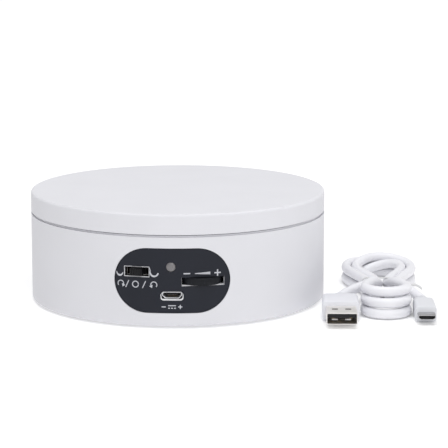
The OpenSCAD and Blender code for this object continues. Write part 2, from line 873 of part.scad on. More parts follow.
module spindle_clip() {
    color("dimgray") translate([0, 0, clip_z]) difference() {
        ring(6, 3.25, clip_t);
        translate([-2.4, 0, -1]) cube([4.8, 10, 5]);
    }
}

// ---- cable ----

// Pear shape: round at both ends, drawn in by the tie
module hank_outline() {
    polygon(concat(
        [for (a = [-12:12:192]) [0, hank_top_v] + polar(hank_top_r, a)],
        [[-waist_half, tie_v]],
        [for (a = [180:12:360]) [0, hank_bottom_v] + polar(hank_bottom_r, a)],
        [[waist_half, tie_v]]
    ));
}

module tie_loop(grow) {
    out = waist_half + tie_t;
    translate([0, tie_v, 0]) difference() {
        translate([-out - grow, -tie_w / 2 - grow, 0.2 - grow])
            cube([2 * (out + grow), tie_w + 2 * grow, hank_h + tie_t + 2 * grow]);
        translate([-waist_half + 0.2, -tie_w, 0.2 + tie_t])
            cube([2 * waist_half - 0.4, 2 * tie_w, hank_h - 0.6]);
    }
}

module cable_hank() {
    color("white") translate([cable_x, 0, 0]) difference() {
        linear_extrude(hank_h) hank_outline();
        tie_loop(0.02);
    }
}

module cable_lead_left() {
    color("white") translate([cable_x, 0, 0]) tube(lead_left, cable_d / 2);
}

module cable_lead_right() {
    color("white") translate([cable_x, 0, 0]) tube(lead_right, cable_d / 2);
}

module cable_tie() {
    out = waist_half + tie_t;
    color("white") translate([cable_x, 0, 0]) {
        tie_loop(0);
        translate([out - 0.2, tie_v, 4.6]) rotate([0, 20, 24])
            translate([0, -1, -0.3]) cube([9, 2, 0.6]);
        translate([out - 0.2, tie_v, 3.6]) rotate([0, 16, -32])
            translate([0, -1, -0.3]) cube([11.5, 2, 0.6]);
    }
}

// Block with two rounded long sides, lying along Y
module grip(width, height, length, corner) {
    rotate([90, 0, 0]) linear_extrude(length) union() {
        square([width - 2 * corner, height], center = true);
        square([width, height - 2 * corner], center = true);
        for (x = [-1, 1], y = [-1, 1])
            translate([x * (width / 2 - corner), y * (height / 2 - corner)]) circle(r = corner);
    }
}

module usb_a_plug_body() {
    color("white") translate([cable_x + plug_a_u, plug_top_v, plug_a_z]) {
        rotate([90, 0, 0]) cylinder(r = 3, h = 6.5);
        translate([0, -6, 0]) grip(14.5, 8, 16, 1.5);
    }
}

module usb_a_plug_shell() {
    color("silver") translate([cable_x + plug_a_u, plug_top_v - 22, plug_a_z]) difference() {
        translate([-6, -12.8, -2.25]) cube([12, 12.8, 4.5]);
        translate([-5.7, -13.8, -1.95]) cube([11.4, 13.4, 3.9]);
        for (x = [-2.6, 2.6], z = [-3, 1])
            translate([x - 1.15, -6.6, z]) cube([2.3, 2.3, 2]);
    }
}

module usb_a_plug_tongue() {
    color("dimgray") translate([cable_x + plug_a_u, plug_top_v - 22, plug_a_z])
        translate([-5.65, -12, 0.1]) cube([11.3, 11.5, 1.8]);
}

module micro_usb_plug_body() {
    color("white") translate([cable_x + plug_b_u, plug_top_v, plug_b_z]) {
        rotate([90, 0, 0]) cylinder(r = 2.7, h = 5.5);
        translate([0, -5, 0]) grip(8.4, 6.2, 17.5, 1.4);
    }
}

module micro_usb_plug_shell() {
    color("silver") translate([cable_x + plug_b_u, plug_top_v - 22.5, plug_b_z])
        rotate([90, 0, 0]) difference() {
            linear_extrude(5.5)
                polygon([[-3.4, 0.9], [3.4, 0.9], [3.4, -0.1], [2.6, -0.9], [-2.6, -0.9], [-3.4, -0.1]]);
            translate([-2.7, -0.35, 0.5]) cube([5.4, 0.9, 10]);
        }
}

base_shell();
bottom_cover();
rubber_feet();
cover_screws();
control_panel();
indicator_led();
led_legs();
usb_socket_shell();
usb_socket_tongue();
main_board();
board_screws();
switch_board();
switch_frame();
switch_back();
potentiometer_case();
driver_chip();
capacitor();
board_resistors();
wire_connector();
motor_can();
motor_end_cap();
motor_terminals();
motor_screws();
motor_wire_red();
motor_wire_black();
gearbox_plate();
gearbox_screws();
gear_pins();
output_bush();
bearing_outer_race();
cable_hank();
cable_lead_left();
cable_lead_right();
cable_tie();
usb_a_plug_body();
usb_a_plug_shell();
usb_a_plug_tongue();
micro_usb_plug_body();
micro_usb_plug_shell();
platter();
spindle();
spindle_screws();
platter_gear();
gear_screws();
bearing_inner_race();
spindle_washer();
spindle_clip();
bearing_balls();
bearing_cage();
output_shaft();
output_gear();
drive_pinion();
second_gear();
first_gear();
motor_shaft();
motor_rotor();
motor_pinion();
switch_slider();
speed_dial();
dial_screw();
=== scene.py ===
"""Looks of a motorised display turntable and its folded supply cable, built round the frame."""
import json
import math
import bmesh
import bpy
from mathutils import Matrix, Vector


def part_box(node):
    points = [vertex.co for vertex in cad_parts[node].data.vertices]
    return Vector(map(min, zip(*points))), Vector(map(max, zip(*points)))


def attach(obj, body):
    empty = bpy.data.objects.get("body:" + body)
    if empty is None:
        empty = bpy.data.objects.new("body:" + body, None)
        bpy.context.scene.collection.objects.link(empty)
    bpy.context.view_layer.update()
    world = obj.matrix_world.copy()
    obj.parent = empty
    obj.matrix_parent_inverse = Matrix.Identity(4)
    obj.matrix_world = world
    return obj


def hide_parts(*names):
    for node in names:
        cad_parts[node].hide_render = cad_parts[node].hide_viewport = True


MM = 0.001
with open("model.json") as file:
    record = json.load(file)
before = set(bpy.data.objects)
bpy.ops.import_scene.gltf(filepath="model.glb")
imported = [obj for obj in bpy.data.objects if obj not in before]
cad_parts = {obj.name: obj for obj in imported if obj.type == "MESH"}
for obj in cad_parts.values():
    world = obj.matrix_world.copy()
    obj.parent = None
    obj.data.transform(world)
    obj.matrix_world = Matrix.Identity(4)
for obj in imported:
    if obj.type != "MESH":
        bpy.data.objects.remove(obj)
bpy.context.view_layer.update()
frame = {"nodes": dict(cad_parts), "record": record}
nodes = frame["nodes"]
ROOT = "stand"


# ---- camera ----

CAMERA_DISTANCE = 0.9
CAMERA_AZIMUTH = math.radians(2.35)
CAMERA_ELEVATION = math.radians(12.6)
CAMERA_LENS = 174.7
SENSOR = 36.0
CLIP_NEAR, CLIP_FAR = 0.01, 20
# where the middle of the stand's feet falls, as shares of the frame's width from its centre
FOOT_LEFT = 0.1027
FOOT_BELOW = 0.1588


def make_camera():
    data = bpy.data.cameras.new("camera")
    data.lens = CAMERA_LENS
    data.sensor_width = SENSOR
    data.clip_start, data.clip_end = CLIP_NEAR, CLIP_FAR
    camera = bpy.data.objects.new("camera", data)
    bpy.context.scene.collection.objects.link(camera)
    back = Vector((
        math.sin(CAMERA_AZIMUTH) * math.cos(CAMERA_ELEVATION),
        -math.cos(CAMERA_AZIMUTH) * math.cos(CAMERA_ELEVATION),
        math.sin(CAMERA_ELEVATION),
    ))
    right = Vector((math.cos(CAMERA_AZIMUTH), math.sin(CAMERA_AZIMUTH), 0))
    up = back.cross(right)
    reach = CAMERA_DISTANCE * SENSOR / CAMERA_LENS
    aim = right * FOOT_LEFT * reach + up * FOOT_BELOW * reach
    camera.location = back * CAMERA_DISTANCE
    camera.rotation_mode = "QUATERNION"
    camera.rotation_quaternion = (aim - camera.location).to_track_quat("-Z", "Y")
    bpy.context.scene.camera = camera


# ---- cable's route: in millimetres, u across the hank, v along it and z up ----

CABLE_D = 4.0
CABLE_X = 84.0                      # the hank's middle line in the scene
STRAND = 4.2                        # from one strand's centreline to the next
BUNDLE_R = STRAND / math.sqrt(2)    # four strands round their bundle's middle
LAYER_Z = 4.3                       # height of the bundle's middle
WAIST_U, WAIST_V = STRAND, -4.0
END_WAIST_Z = 6.4                   # height of the two free ends at the waist
TOP_V, TOP_R = 27.3, 11.6           # middle and radius of the wide loops
LOOP_STEPS, LOOP_AROUND = 8, 14
LOOP_SWELL, LOOP_RISE = 0.25, 1.1   # at the far end, outwards and up
FOLD_R = 8.2
FOLD_STEPS, FOLD_AROUND = 8, 10
ROUTE_GAP = 0.8                     # points closer than this to the one before are left out
# the route's free ends, from the hank's waist to each plug: (u, v, z)
LEAD_LEFT = [
    (-7, -8, 6.4), (-9.4, -11, 6.4), (-12.3, -14.2, 5.9), (-15.2, -17, 5.2),
    (-17.4, -20.2, 4.5), (-18.2, -22.4, 4.2), (-18.3, -24, 4.1),
]
LEAD_RIGHT = [
    (7, -8, 6.4), (8.8, -11, 6.3), (10.8, -14.2, 5.6), (12.9, -17.2, 4.6),
    (14.5, -20.2, 3.7), (15, -22.4, 3.3), (15, -24, 3.2),
]
# each fold at the near end: the strand's u and z at the waist, then the fold's z and v
FOLDS = [(6.3, 2.2, 2.2, -34.0), (2.1, 2.2, 6.4, -33.0), (2.1, 6.4, 10.6, -31.0)]


def ease(t):
    t = min(max(t, 0.0), 1.0)
    return t * t * (3 - 2 * t)


def bundle(turn, radius, grow=0.0):
    """A strand's place in the bundle of four: outwards from the hank's middle line, and up."""
    turn = math.radians(turn)
    return radius + (BUNDLE_R + grow) * math.cos(turn), (BUNDLE_R + grow) * math.sin(turn)


def far_loop(turn):
    """Up the left side from the waist, round the wide end and down the right side."""
    def side(share, strand_turn):
        out, up = bundle(strand_turn, WAIST_U + (TOP_R - WAIST_U) * ease(share))
        return out, WAIST_V + (TOP_V - WAIST_V) * share, LAYER_Z + up

    points = []
    for k in range(1, LOOP_STEPS):
        u, v, z = side(k / LOOP_STEPS, turn)
        points.append((-u, v, z))
    for k in range(LOOP_AROUND + 1):
        share = k / LOOP_AROUND
        swell = math.sin(math.pi * share)
        out, up = bundle(turn - 90 * ease(share), TOP_R, LOOP_SWELL * swell)
        angle = math.pi * (1 - share)
        points.append((
            out * math.cos(angle),
            TOP_V + out * math.sin(angle),
            LAYER_Z + LOOP_RISE * swell + up,
        ))
    for k in range(LOOP_STEPS - 1, 0, -1):
        points.append(side(k / LOOP_STEPS, turn - 90))
    return points


def near_fold(waist_u, low, high, middle_v):
    """From the waist on the right, round a tight fold and back to the waist on the left."""
    spread_from, climb_from, climb_over = 0.25, 0.05, 0.6
    right = []
    for k in range(FOLD_STEPS):
        share = k / FOLD_STEPS
        spread = ease((share - spread_from) / (1 - spread_from))
        right.append((
            waist_u + (FOLD_R - waist_u) * spread,
            WAIST_V + (middle_v - WAIST_V) * share,
            low + (high - low) * ease((share - climb_from) / climb_over),
        ))
    around = []
    for k in range(FOLD_AROUND + 1):
        angle = -math.pi * k / FOLD_AROUND
        around.append((FOLD_R * math.cos(angle), middle_v + FOLD_R * math.sin(angle), high))
    return right + around + [(-u, v, z) for u, v, z in reversed(right)]


def cable_route():
    """The whole centreline, from the left plug to the right one, in metres."""
    end_u = WAIST_U + STRAND / 2
    route = list(reversed(LEAD_LEFT)) + [(-end_u, WAIST_V, END_WAIST_Z)]
    for k, fold in enumerate(FOLDS):
        route += far_loop(45 - 90 * k) + near_fold(*fold)
    route += far_loop(45 - 90 * len(FOLDS))
    route += [(end_u, WAIST_V, END_WAIST_Z)] + LEAD_RIGHT
    kept = [route[0]]
    for point in route[1:]:
        if (Vector(point) - Vector(kept[-1])).length > ROUTE_GAP:
            kept.append(point)
    return [Vector((CABLE_X + u, v, z)) * MM for u, v, z in kept]


def smooth_line(points, per_span=4):
    """Catmull-Rom through the points, with more points between them."""
    ends = [2 * points[0] - points[1]] + points + [2 * points[-1] - points[-2]]
    spline = []
    for i in range(1, len(ends) - 2):
        a, b, c, d = ends[i - 1:i + 3]
        for k in range(per_span):
            t = k / per_span
            square = (2 * a - 5 * b + 4 * c - d) * t ** 2
            cube = (3 * b - a - 3 * c + d) * t ** 3
            spline.append(0.5 * (2 * b + (c - a) * t + square + cube))
    return spline + [points[-1]]


# ---- shapes: (vertices, faces) pairs ----

WELD_MM = 0.001
SHARP_ANGLE = math.radians(40)      # edges sharper than this stay crisp
BEVEL_ANGLE = math.radians(35)      # edges sharper than this are rounded, where asked
BEVEL_SEGMENTS = 2


def skin(rings, count, caps):
    """Quads between neighbouring rings of that many points, and a cap on each end."""
    faces = []
    for i in range(rings - 1):
        for k in range(count):
            a, b = i * count + k, i * count + (k + 1) % count
            faces.append((a, b, b + count, a + count))
    if caps:
        faces.append(tuple(range(count - 1, -1, -1)))
        faces.append(tuple(range((rings - 1) * count, rings * count)))
    return faces


def sweep(points, section):
    """Untwisted tube along a line: section(i) gives ring i's (sideways, up) pairs, in metres."""
    verts = []
    last = None
    for i, point in enumerate(points):
        along = (points[min(i + 1, len(points) - 1)] - points[max(i - 1, 0)]).normalized()
        if last is None:
            last = along.cross(Vector((0, 0, 1))).normalized()
        last = (last - last.dot(along) * along).normalized()
        up = last.cross(along)
        verts += [point + last * s + up * u for s, u in section(i)]
    return verts, skin(len(points), len(section(0)), caps=True)


def loft(rings, caps=True):
    """Skin through rings of equal length, each a list of points in millimetres."""
    verts = [Vector(p) * MM for ring in rings for p in ring]
    return verts, skin(len(rings), len(rings[0]), caps)


def closed_loft(rings):
    """Skin through rings and back to the first, as round the wall of a tube."""
    return loft(rings + [rings[0]], caps=False)


def lathe(profile, steps, ripple):
    """Profile of (radius, height) turned about +Z; ripple(i, angle) trims ring i's radius."""
    rings = []
    for i, (radius, height) in enumerate(profile):
        ring = []
        for k in range(steps):
            angle = 2 * math.pi * k / steps
            reach = radius - ripple(i, angle)
            ring.append((reach * math.cos(angle), reach * math.sin(angle), height))
        rings.append(ring)
    return loft(rings)


def rectangle(width, height):
    x, y = width / 2, height / 2
    return [(-x, -y), (x, -y), (x, y), (-x, y)]


def block(width, depth, height):
    """Box centred on the origin, in millimetres."""
    ring = rectangle(width, depth)
    return loft([[(x, y, z) for x, y in ring] for z in (-height / 2, height / 2)])


def circle_section(radius, sides=20):
    turns = [2 * math.pi * k / sides for k in range(sides)]
    return [(radius * math.cos(a), radius * math.sin(a)) for a in turns]


def rounded_outline(corners, radius, steps=5):
    """Convex polygon with its corners rounded, all to one radius or each to its own."""
    points = []
    radii = radius if isinstance(radius, list) else [radius] * len(corners)
    for i, (corner, corner_radius) in enumerate(zip(corners, radii)):
        here = Vector(corner)
        before = Vector(corners[i - 1]) - here
        after = Vector(corners[(i + 1) % len(corners)]) - here
        longest = min(before.length, after.length) * 0.49
        before, after = before.normalized(), after.normalized()
        half = before.angle(after) / 2
        back = min(corner_radius / math.tan(half), longest)
        reach = back * math.tan(half)
        middle = here + (before + after).normalized() * math.hypot(back, reach)
        start, finish = here + before * back - middle, here + after * back - middle
        for k in range(steps + 1):
            points.append(middle + start.lerp(finish, k / steps).normalized() * reach)
    return points


def place(x, y, z, turn=0.0):
    """Matrix to a point given in millimetres, turned about +Z from straight ahead."""
    return Matrix.Rotation(math.radians(turn), 4, "Z") @ Matrix.Translation(Vector((x, y, z)) * MM)


def moved(part, matrix):
    return [matrix @ Vector(v) for v in part[0]], part[1]


def join(*parts):
    """Several (verts, faces) put together as one mesh's data."""
    verts, faces = [], []
    for part_verts, part_faces in parts:
        faces += [tuple(i + len(verts) for i in face) for face in part_faces]
        verts += part_verts
    return verts, faces


def middle_of(low, high, axis):
    """Middle of a box along one axis, in millimetres."""
    return (low[axis] + high[axis]) / 2 / MM


# ---- pieces ----

def piece(name, verts, faces, finish, slot, body=ROOT, smooth=True):
    mesh = bpy.data.meshes.new(name)
    mesh.from_pydata([tuple(v) for v in verts], [], faces)
    mesh.materials.append(finish)
    work = bmesh.new()
    work.from_mesh(mesh)
    bmesh.ops.recalc_face_normals(work, faces=work.faces)
    work.to_mesh(mesh)
    work.free()
    if smooth:
        mesh.shade_smooth()
    made = bpy.data.objects.new(name, mesh)
    bpy.context.scene.collection.objects.link(made)
    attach(made, body)
    return made


def welded(made, bevel_mm=0.0):
    """Merge doubled points and, where asked, round the sharp edges."""
    work = bmesh.new()
    work.from_mesh(made.data)
    bmesh.ops.remove_doubles(work, verts=work.verts, dist=WELD_MM * MM)
    bmesh.ops.recalc_face_normals(work, faces=work.faces)
    if bevel_mm:
        sharp = [e for e in work.edges
            if len(e.link_faces) == 2 and e.calc_face_angle(0) > BEVEL_ANGLE]
        bmesh.ops.bevel(work, geom=sharp, offset=bevel_mm * MM, segments=BEVEL_SEGMENTS,
            affect="EDGES", clamp_overlap=True)
    work.to_mesh(made.data)
    work.free()
    made.data.shade_smooth()
    made.data.set_sharp_from_angle(angle=SHARP_ANGLE)
    return made


def cut(made, *cutters):
    """Take the cutters' shapes away from a piece."""
    mesh = bpy.data.meshes.new("cutter")
    verts, faces = join(*cutters)
    mesh.from_pydata([tuple(v) for v in verts], [], faces)
    cutter = bpy.data.objects.new("cutter", mesh)
    bpy.context.scene.collection.objects.link(cutter)
    taken = made.modifiers.new("cut", "BOOLEAN")
    taken.operation = "DIFFERENCE"
    taken.solver = "EXACT"
    taken.use_self = True
    taken.object = cutter
    shape = made.evaluated_get(bpy.context.evaluated_depsgraph_get())
    result = bpy.data.meshes.new_from_object(shape)
    made.modifiers.clear()
    made.data = result
    bpy.data.objects.remove(cutter)
    bpy.data.meshes.remove(mesh)
    made.data.shade_smooth()
    made.data.set_sharp_from_angle(angle=SHARP_ANGLE)


# ---- materials ----

PLASTIC_MOTTLE, PLASTIC_SHEEN = 60, 180     # noise scales
METAL_MOTTLE, METAL_STREAKS = 300, 900
METAL_SPREAD = 0.04
STREAK_STRETCH = (1, 1, 12)


def new_material(name):
    made = bpy.data.materials.new(name)
    made.use_nodes = True
    tree = made.node_tree
    return made, tree, tree.nodes["Principled BSDF"]


def add(tree, kind, **values):
    made = tree.nodes.new(kind)
    for key, value in values.items():
        made.inputs[key].default_value = value
    return made


def noise(tree, scale, detail=3.0, stretch=None):
    """Noise texture's strength, in the piece's own coordinates."""
    where = tree.nodes.new("ShaderNodeTexCoord").outputs["Object"]
    if stretch:
        drawn = add(tree, "ShaderNodeMapping", Scale=stretch)
        tree.links.new(where, drawn.inputs["Vector"])
        where = drawn.outputs["Vector"]
    made = add(tree, "ShaderNodeTexNoise", Scale=scale, Detail=detail)
    tree.links.new(where, made.inputs["Vector"])
    return made.outputs["Fac"]


def mottle(tree, shader, colour, spread, scale):
    """Base colour that wanders a little round its mean."""
    ramp = tree.nodes.new("ShaderNodeValToRGB")
    dark, light = ramp.color_ramp.elements
    dark.position, light.position = 0.3, 0.7
    dark.color = [c * (1 - spread) for c in colour] + [1]
    light.color = [min(c * (1 + spread), 1) for c in colour] + [1]
    tree.links.new(noise(tree, scale), ramp.inputs["Fac"])
    tree.links.new(ramp.outputs["Color"], shader.inputs["Base Color"])


def rough(tree, shader, limits, texture):
    """Roughness that wanders between two values."""
    spread = add(tree, "ShaderNodeMapRange", **{"To Min": limits[0], "To Max": limits[1]})
    tree.links.new(texture, spread.inputs["Value"])
    tree.links.new(spread.outputs["Result"], shader.inputs["Roughness"])


def grain(tree, shader, scale, depth_mm):
    """Fine moulded texture."""
    bump = add(tree, "ShaderNodeBump", Strength=1.0, Distance=depth_mm * MM)
    tree.links.new(noise(tree, scale, 2.0), bump.inputs["Height"])
    tree.links.new(bump.outputs["Normal"], shader.inputs["Normal"])


def plastic(name, colour, roughness, spread=0.01, grain_scale=2500, depth_mm=0.01, specular=0.5):
    made, tree, shader = new_material(name)
    shader.inputs["Specular IOR Level"].default_value = specular
    mottle(tree, shader, colour, spread, PLASTIC_MOTTLE)
    rough(tree, shader, roughness, noise(tree, PLASTIC_SHEEN))
    grain(tree, shader, grain_scale, depth_mm)
    return made


def metal(name, colour, roughness=(0.2, 0.35)):
    made, tree, shader = new_material(name)
    shader.inputs["Metallic"].default_value = 1.0
    mottle(tree, shader, colour, METAL_SPREAD, METAL_MOTTLE)
    rough(tree, shader, roughness, noise(tree, METAL_STREAKS, stretch=STREAK_STRETCH))
    return made


WHITE = plastic("casing_white", (0.70, 0.70, 0.735), (0.5, 0.6), specular=0.35)
PLATTER_WHITE = plastic("platter_white", (0.705, 0.705, 0.74), (0.55, 0.65), specular=0.3)
COVER_WHITE = plastic("cover_white", (0.68, 0.68, 0.71), (0.5, 0.6), 0.01, 1500, 0.03)
CHARCOAL = plastic("panel_charcoal", (0.0085, 0.0105, 0.0185), (0.36, 0.44), 0.06, specular=0.28)
BLACK = plastic("black_plastic", (0.007, 0.007, 0.009), (0.35, 0.45), 0.1, specular=0.3)
WHEEL = plastic("wheel_black", (0.007, 0.008, 0.011), (0.45, 0.55), 0.08, specular=0.2)
LENS = plastic("frosted_lens", (0.178, 0.17, 0.176), (0.25, 0.35), 0.03)
INK = plastic("white_ink", (0.5, 0.51, 0.55), (0.5, 0.6), 0.03)
CABLE = plastic("cable_jacket", (0.79, 0.79, 0.825), (0.38, 0.46), 0.01, 1500, 0.012)
TIE = plastic("tie_plastic", (0.66, 0.66, 0.67), (0.4, 0.5), 0.01, 900, 0.01)
GRIP = plastic("plug_grip", (0.74, 0.745, 0.79), (0.42, 0.5), 0.01, 2500, 0.012)
GRIP_GREY = plastic("micro_grip", (0.705, 0.715, 0.75), (0.42, 0.5), 0.01, 2500, 0.012)
RUBBER = plastic("foot_rubber", (0.03, 0.03, 0.032), (0.7, 0.85), 0.1, 1800, 0.03)
BOARD = plastic("solder_mask", (0.01, 0.13, 0.05), (0.25, 0.35), 0.08, 700, 0.02)
PHENOLIC = plastic("phenolic", (0.03, 0.021, 0.016), (0.5, 0.6), 0.15, 900, 0.03, 0.3)
NYLON = plastic("nylon", (0.72, 0.69, 0.6), (0.4, 0.5), 0.02)
ACETAL = plastic("acetal", (0.75, 0.76, 0.77), (0.35, 0.45), 0.02)
BLUE = plastic("blue_sleeve", (0.03, 0.08, 0.24), (0.25, 0.35), 0.05)
RED = plastic("red_insulation", (0.5, 0.02, 0.015), (0.35, 0.45), 0.04)
NICKEL = metal("nickel", (0.86, 0.84, 0.82), (0.42, 0.54))
TIN = metal("socket_tin", (0.86, 0.865, 0.885), (0.42, 0.54))
# steel parts; the micro-USB plug's shell also takes this darker metal in place of its nickel, as
# painted shade for how dark it looks seen edge-on
STEEL_AND_SHADE = metal("steel", (0.5, 0.5, 0.51), (0.35, 0.5))
DARK_STEEL = metal("dark_steel", (0.12, 0.12, 0.13), (0.4, 0.5))
BRASS = metal("brass", (0.75, 0.55, 0.25))
COPPER = metal("copper", (0.75, 0.35, 0.18))

SLOT_FINISH = {
    "casing": WHITE, "platter_white": PLATTER_WHITE, "cover": COVER_WHITE, "panel": CHARCOAL,
    "lens": LENS, "black_plastic": BLACK, "foot_rubber": RUBBER, "nickel": NICKEL,
    "steel": STEEL_AND_SHADE, "dark_steel": DARK_STEEL, "brass": BRASS, "copper": COPPER,
    "board_green": BOARD, "phenolic": PHENOLIC, "nylon": NYLON, "acetal": ACETAL,
    "sleeve_blue": BLUE, "wire_red": RED, "wire_black": BLACK,
    "cable_white": CABLE, "plug_white": GRIP,
}


def finish_cad_nodes():
    for row in frame["record"]["subparts"]:
        mesh = nodes[row["node"]].data
        mesh.materials.clear()
        mesh.materials.append(SLOT_FINISH[row["material_slot"]])


# ---- printed marks: s along the panel's curve from its middle and z up, in millimetres ----

PANEL_R = 59.7
INK_T = 0.03                        # how far the print stands out, and how deep it reaches in
INK_STEP = 0.7                      # longest straight piece of a printed line
FINE, MEDIUM, BOLD = 0.36, 0.4, 0.5
SWITCH_ANGLE = -13.3
WINDOW_Z, WINDOW_HALF = 22.3, 5.15
SIGNS_Z, SPEED_Z, SUPPLY_Z = 17.35, 21.85, 8.75
SIGN_R = 1.18
CLOCKWISE_S, OFF_S, ANTICLOCKWISE_S = -20.3, -14.3, -7.0


def on_panel(s, z, radius):
    """Point on the panel, by its distance along the curved face and its height."""
    turn = s / PANEL_R
    return radius * math.sin(turn), -radius * math.cos(turn), z


def ink_line(points, widths):
    """Printed line of changing width, as a thin solid that follows the panel's curve."""
    dense = []
    for (a, wide_a), (b, wide_b) in zip(zip(points, widths), zip(points[1:], widths[1:])):
        parts = max(1, math.ceil((Vector(b) - Vector(a)).length / INK_STEP))
        for k in range(parts):
            dense.append((
                Vector(a).lerp(Vector(b), k / parts),
                wide_a + (wide_b - wide_a) * k / parts,
            ))
    dense.append((Vector(points[-1]), widths[-1]))
    rings = []
    for i, (here, wide) in enumerate(dense):
        before, after = dense[max(i - 1, 0)][0], dense[min(i + 1, len(dense) - 1)][0]
        along = (after - before).normalized()
        side = Vector((-along.y, along.x)) * wide / 2
        left, right = here + side, here - side
        rings.append([
            on_panel(left.x, left.y, PANEL_R - INK_T), on_panel(right.x, right.y, PANEL_R - INK_T),
            on_panel(right.x, right.y, PANEL_R + INK_T), on_panel(left.x, left.y, PANEL_R + INK_T),
        ])
    return loft(rings)


def line(points, width):
    return ink_line(points, [width] * len(points))


def arc(middle, radius, start, finish, steps=20, tall=None):
    """Points of an arc by its angles in degrees; tall is its other half-width."""
    points = []
    for k in range(steps + 1):
        angle = math.radians(start + (finish - start) * k / steps)
        points.append((
            middle[0] + radius * math.cos(angle),
            middle[1] + (tall or radius) * math.sin(angle),
        ))
    return points


def turn_arrow(middle_s, way):
    """Round arrow: way is 1 for clockwise and -1 for anticlockwise."""
    body = arc((middle_s, SIGNS_Z), SIGN_R, 90 + way * 130, 90 - way * 120)
    tip = Vector(body[-1])
    along = (tip - Vector(body[-2])).normalized()
    head = [tuple(tip - along * 0.35), tuple(tip + along * 0.75)]
    return [line(body, FINE), ink_line(head, [1.45, 0.04])]


def slash(left_s):
    return [line([(left_s, SIGNS_Z - 1.4), (left_s + 1.3, SIGNS_Z + 1.4)], FINE)]


def minus(middle_s, z, half, width):
    return [line([(middle_s - half, z), (middle_s + half, z)], width)]


def plus(middle_s, z, half, width):
    upright = line([(middle_s, z - half), (middle_s, z + half)], width)
    return minus(middle_s, z, half, width) + [upright]


def window_hooks():
    """A curved hook at each end of the switch window; the right one starts at its corner."""
    window_s = math.radians(SWITCH_ANGLE) * PANEL_R
    left = (window_s - WINDOW_HALF - 1.65, WINDOW_Z - 0.1)
    right = (window_s + WINDOW_HALF + 1.85, WINDOW_Z + 0.15)
    steps, tail = 16, 4
    swell = [0.25 + 0.45 * math.sin(math.pi * k / steps) for k in range(steps + 1)]
    corner = (right[0] - 1.85, right[1] + 1.6)
    return [
        ink_line(arc(left, 1.35, 185, 345, steps, 1.65), swell),
        ink_line([corner] + arc(right, 1.6, 160, 345, steps, 1.75),
            [0.2] + swell[:-tail] + [0.6] * tail),
    ]


def make_panel_marks():
    marks = window_hooks()
    # clockwise, off and anticlockwise, parted by slashes
    marks += turn_arrow(CLOCKWISE_S, 1) + slash(-18.3)
    marks += [line(arc((OFF_S, SIGNS_Z), SIGN_R, 0, 354, 28), MEDIUM)]
    marks += slash(-11.5) + turn_arrow(ANTICLOCKWISE_S, -1)
    # slower and faster, with a wedge between them
    marks += minus(5.8, SPEED_Z, 1.3, BOLD)
    marks += [ink_line([(8.9, SPEED_Z - 0.05), (14.9, SPEED_Z)], [0.3, 1.1])]
    marks += plus(17.8, SPEED_Z, 1.3, BOLD)
    # direct current, between its poles
    marks += minus(0, SUPPLY_Z + 0.5, 1.5, MEDIUM)
    for dash_s in (-1.15, 0, 1.15):
        marks += minus(dash_s, SUPPLY_Z - 0.5, 0.35, MEDIUM)
    marks += minus(-3.2, SUPPLY_Z, 0.8, MEDIUM) + plus(3.2, SUPPLY_Z, 0.8, MEDIUM)
    piece("panel_marks", *join(*marks), INK, "lens", smooth=False)


# ---- switch, dial and socket ----

# carrier, neck and knob of the slider: width, depth and height, and y before it is turned
SLIDER_BLOCKS = [(6, 2.2, 4.4, -55.0), (2.8, 3.8, 2.4, -57.8), (4.8, 2.6, 2.8, -59.6)]
RIB_SIZE, RIB_Y, RIB_PITCH = (0.42, 0.5, 2.7), -61.1, 0.9
# lining of the switch's window: width, height and y of each ring
SLEEVE_RINGS = [(9.58, 3.58, -57.2), (9.58, 3.58, -59.15), (9.3, 3.3, -59.15), (9.3, 3.3, -57.2)]


def make_switch():
    """Slider with a ribbed knob, and the dark sleeve that lines its window."""
    low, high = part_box("switch_slider")
    z = middle_of(low, high, 2)
    parts = [moved(block(*size), place(0, y, z, SWITCH_ANGLE)) for *size, y in SLIDER_BLOCKS]
    for k in range(-2, 3):
        parts.append(moved(block(*RIB_SIZE), place(RIB_PITCH * k, RIB_Y, z, SWITCH_ANGLE)))
    made = piece("switch_knob", *join(*parts), BLACK, "black_plastic", body="direction_switch")
    welded(made, 0.12)
    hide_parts("switch_slider")
    rings = [[(x, y, z + up) for x, up in rectangle(width, height)]
        for width, height, y in SLEEVE_RINGS]
    sleeve = moved(closed_loft(rings), place(0, 0, 0, SWITCH_ANGLE))
    welded(piece("switch_sleeve", *sleeve, BLACK, "black_plastic"))


def make_dial():
    """Thumb wheel with a finely knurled edge and a hub that sits in the regulator."""
    low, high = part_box("speed_dial")
    middle = Vector(((low[0] + high[0]) / 2, (low[1] + high[1]) / 2, 0))
    foot, top = low[2] / MM, high[2] / MM
    radius, thick, chamfer = 8.0, 2.8, 0.3
    hub_r, web_r, screw_r = 1.42, 6.6, 0.7
    under, recess = top - thick, top - 0.6
    profile = [
        (hub_r, foot), (hub_r, under), (web_r, under), (radius - chamfer, under),
        (radius, under + chamfer), (radius, top - chamfer), (radius - chamfer, top),
        (5.4, top), (5, top - 0.25), (5, recess), (1.2, recess), (screw_r, recess),
        (screw_r, top - 1.9),
    ]
    # share of the knurl's depth on the profile's edge rings
    knurl = {3: 0.4, 4: 1.0, 5: 1.0, 6: 0.4}
    ridges, depth = 72, 0.13

    def ripple(i, angle):
        return knurl.get(i, 0) * depth * (0.5 - 0.5 * math.cos(ridges * angle))

    verts, faces = lathe(profile, 4 * ridges, ripple)
    verts = [v + middle for v in verts]
    made = welded(piece("thumb_wheel", verts, faces, WHEEL, "black_plastic", body="dial"))
    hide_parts("speed_dial")


def mouth_outline(inset):
    """The receptacle's flared lip: bent round below, bevelled above."""
    half, tall, shoulder, bevel = 4.45 - inset, 1.75 - inset, 0.65 - inset / 2, 0.95
    corners = [
        (-half, -tall), (half, -tall), (half, shoulder),
        (half - bevel, tall), (-half + bevel, tall), (-half, shoulder),
    ]
    return rounded_outline(corners, [max(1.3 - inset, 0.5)] * 2 + [0.35] * 4)


